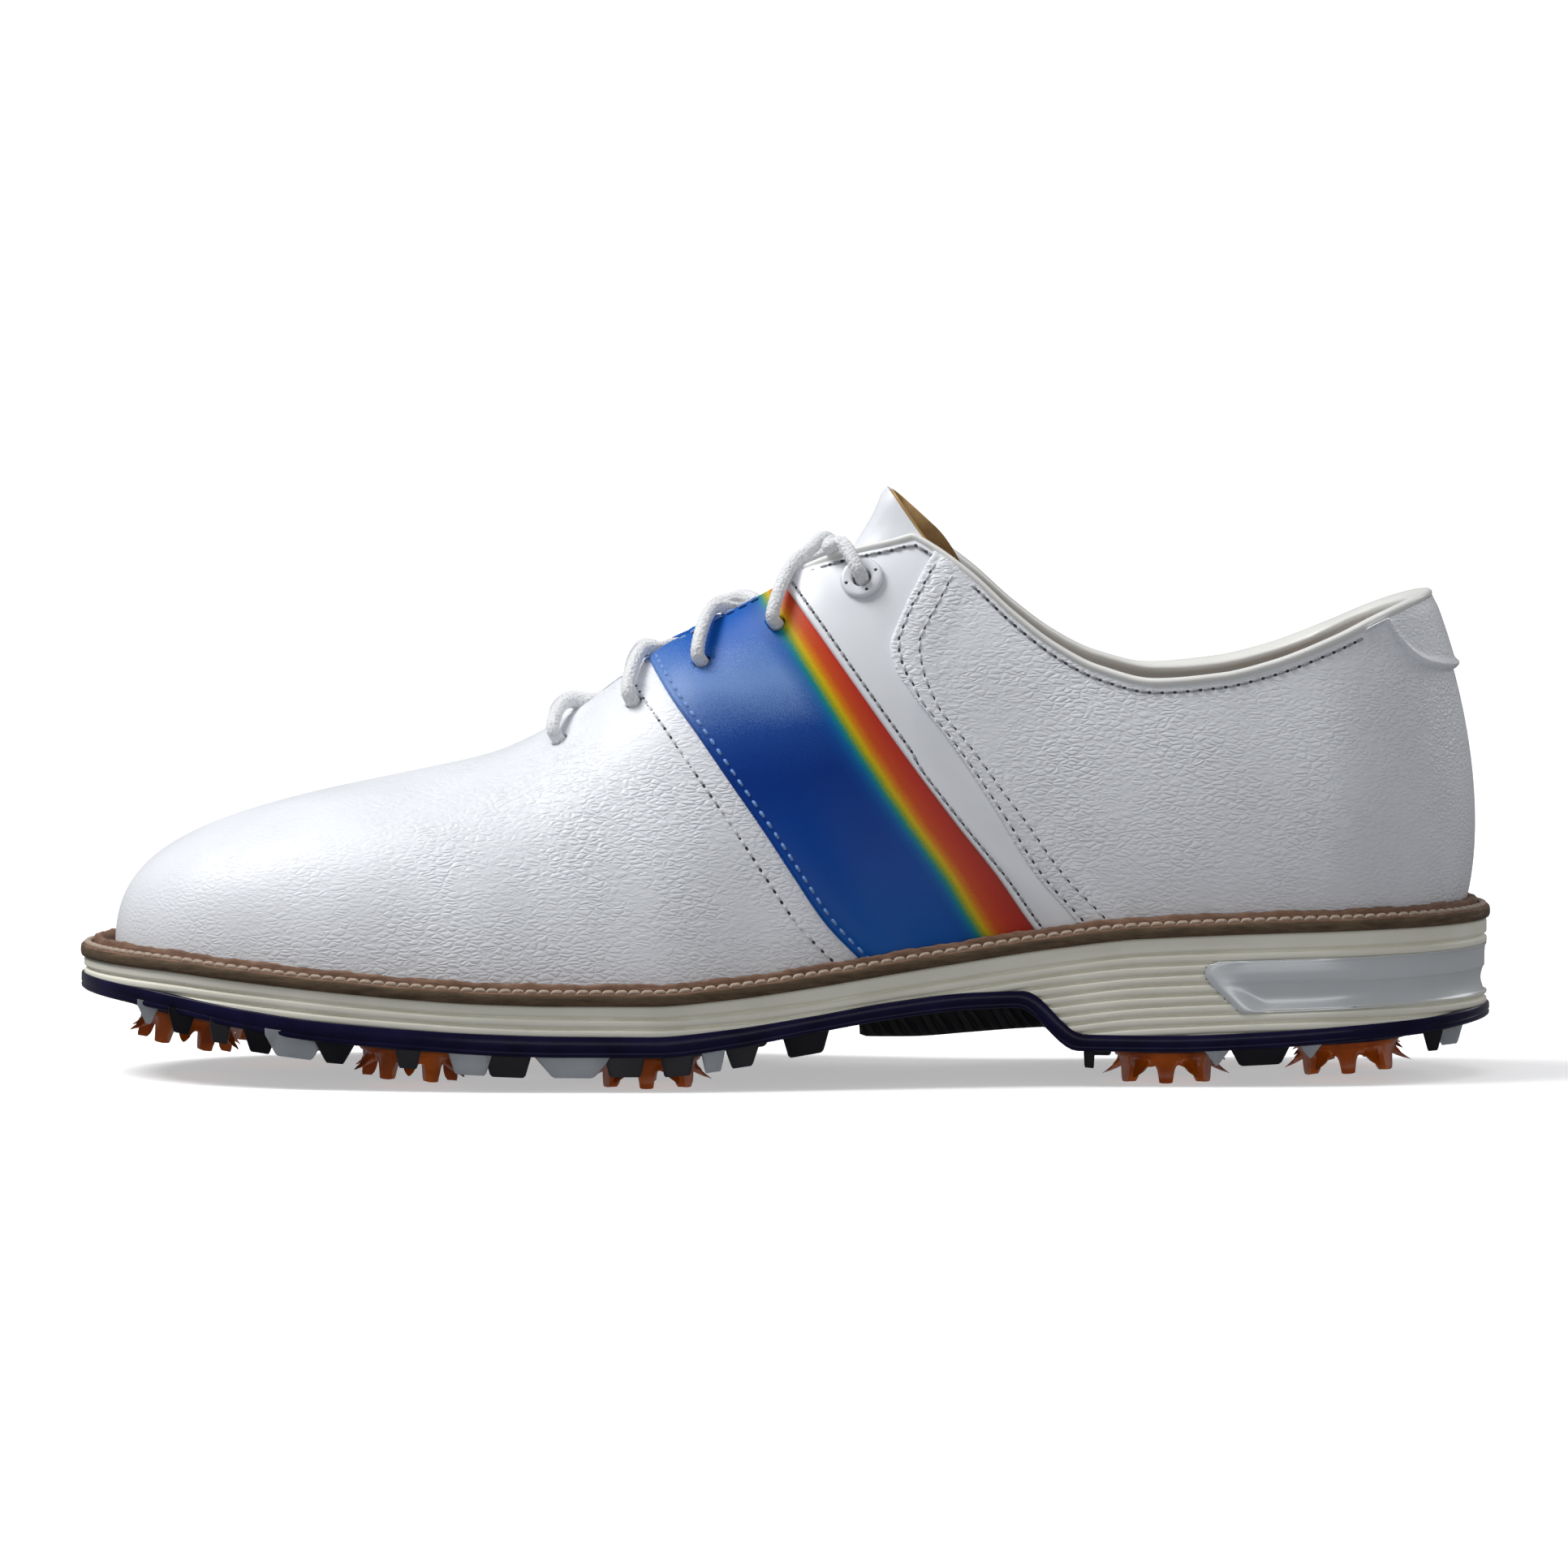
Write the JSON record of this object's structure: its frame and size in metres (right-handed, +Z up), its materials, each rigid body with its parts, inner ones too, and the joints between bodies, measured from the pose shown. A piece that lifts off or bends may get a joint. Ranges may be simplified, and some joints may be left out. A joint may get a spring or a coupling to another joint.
{
  "type": "golf shoe",
  "caption": "Low lace-up golf shoe, left foot: leather upper with a blue saddle, storm welt, grooved midsole with a heel insert, and twist-in cleats.",
  "frame": {"origin": "middle of the bounding box's base, on the ground under the cleats", "axes": "+X runs from toe to heel, +Y towards the inner side of the foot, +Z up"},
  "size_m": [0.304, 0.1082, 0.1271],
  "materials": {
    "white_pebbled_leather": "pebbled full-grain leather, satin",
    "white_smooth_leather": "smooth leather, satin",
    "blue_leather": "smooth leather with a rainbow edge",
    "tan_lining": "soft lining leather",
    "stiffener": "fibre sheet",
    "footbed_foam": "moulded foam with a fabric top",
    "insole_board": "fibre board",
    "cork": "pressed cork",
    "steel": "spring steel",
    "white_lace": "round woven cord",
    "white_eyelet": "moulded ring",
    "brown_welt": "storm welt, matt",
    "tan_thread": "waxed thread",
    "cream_midsole": "grooved, matt",
    "silver_insert": "satin",
    "navy_outsole": "translucent polyurethane",
    "black_arch": "ribbed, satin",
    "cleat_orange": "translucent polyurethane",
    "socket_black": "moulded nylon"
  },
  "bodies": {
    "shoe": {"vamp": "white_pebbled_leather", "vamp_lining": "tan_lining", "rear_lining": "tan_lining", "toe_puff": "stiffener", "heel_counter": "stiffener", "heel_tab": "white_pebbled_leather", "topline_binding": "white_smooth_leather", "saddle_outer": "blue_leather", "eyestay_outer": "white_smooth_leather", "quarter_outer": "white_pebbled_leather", "eyelet_ring_outer": "white_eyelet", "saddle_inner": "blue_leather", "eyestay_inner": "white_smooth_leather", "quarter_inner": "white_pebbled_leather", "eyelet_ring_inner": "white_eyelet", "lace": "white_lace", "footbed": "footbed_foam", "insole_board": "insole_board", "cork_filler": "cork", "shank": "steel", "welt": "brown_welt", "welt_stitching": "tan_thread", "midsole": "cream_midsole", "heel_insert": "silver_insert", "outsole": "navy_outsole", "arch_plate": "black_arch", "socket_toe_outer": "socket_black", "socket_toe_inner": "socket_black", "socket_ball_outer": "socket_black", "socket_waist_outer": "socket_black", "socket_ball_inner": "socket_black", "socket_heel_front_outer": "socket_black", "socket_heel_front_inner": "socket_black", "socket_heel_rear_outer": "socket_black", "socket_heel_rear_inner": "socket_black"},
    "tongue": {"tongue": "white_smooth_leather", "tongue_lining": "tan_lining"},
    "cleat_toe_outer": {"cleat_toe_outer": "cleat_orange"},
    "cleat_toe_inner": {"cleat_toe_inner": "cleat_orange"},
    "cleat_ball_outer": {"cleat_ball_outer": "cleat_orange"},
    "cleat_waist_outer": {"cleat_waist_outer": "cleat_orange"},
    "cleat_ball_inner": {"cleat_ball_inner": "cleat_orange"},
    "cleat_heel_front_outer": {"cleat_heel_front_outer": "cleat_orange"},
    "cleat_heel_front_inner": {"cleat_heel_front_inner": "cleat_orange"},
    "cleat_heel_rear_outer": {"cleat_heel_rear_outer": "cleat_orange"},
    "cleat_heel_rear_inner": {"cleat_heel_rear_inner": "cleat_orange"}
  },
  "joints": [
    {"name": "tongue_fold", "type": "hinge", "parent": "shoe", "child": "tongue", "pos_m": [-0.057, 0, 0.0605], "axis": [0, 1, 0], "range_deg": [0, 22], "stiffness_Nm_per_rad": 0.15, "springref_deg": -3.44},
    {"name": "toe_outer_cleat_turn", "type": "hinge", "parent": "shoe", "child": "cleat_toe_outer", "pos_m": [-0.12748, -0.01507, 0.01733], "axis": [-0.1832, 0, -0.9831], "range_deg": [0, 90]},
    {"name": "toe_inner_cleat_turn", "type": "hinge", "parent": "shoe", "child": "cleat_toe_inner", "pos_m": [-0.10859, 0.02243, 0.01427], "axis": [-0.1419, 0, -0.9899], "range_deg": [0, 90]},
    {"name": "ball_outer_cleat_turn", "type": "hinge", "parent": "shoe", "child": "cleat_ball_outer", "pos_m": [-0.07981, -0.03257, 0.01163], "axis": [-0.0676, 0, -0.9977], "range_deg": [0, 90]},
    {"name": "waist_outer_cleat_turn", "type": "hinge", "parent": "shoe", "child": "cleat_waist_outer", "pos_m": [-0.0294, -0.03457, 0.01015], "axis": [0, 0, -1], "range_deg": [0, 90]},
    {"name": "ball_inner_cleat_turn", "type": "hinge", "parent": "shoe", "child": "cleat_ball_inner", "pos_m": [-0.044, 0.03143, 0.01015], "axis": [0, 0, -1], "range_deg": [0, 90]},
    {"name": "heel_front_outer_cleat_turn", "type": "hinge", "parent": "shoe", "child": "cleat_heel_front_outer", "pos_m": [0.0818, -0.02057, 0.01015], "axis": [0, 0, -1], "range_deg": [0, 90]},
    {"name": "heel_front_inner_cleat_turn", "type": "hinge", "parent": "shoe", "child": "cleat_heel_front_inner", "pos_m": [0.0835, 0.01993, 0.01015], "axis": [0, 0, -1], "range_deg": [0, 90]},
    {"name": "heel_rear_outer_cleat_turn", "type": "hinge", "parent": "shoe", "child": "cleat_heel_rear_outer", "pos_m": [0.1203, -0.01857, 0.01205], "axis": [0.0689, 0, -0.9976], "range_deg": [0, 90]},
    {"name": "heel_rear_inner_cleat_turn", "type": "hinge", "parent": "shoe", "child": "cleat_heel_rear_inner", "pos_m": [0.1213, 0.01793, 0.01212], "axis": [0.0682, 0, -0.9977], "range_deg": [0, 90]}
  ]
}
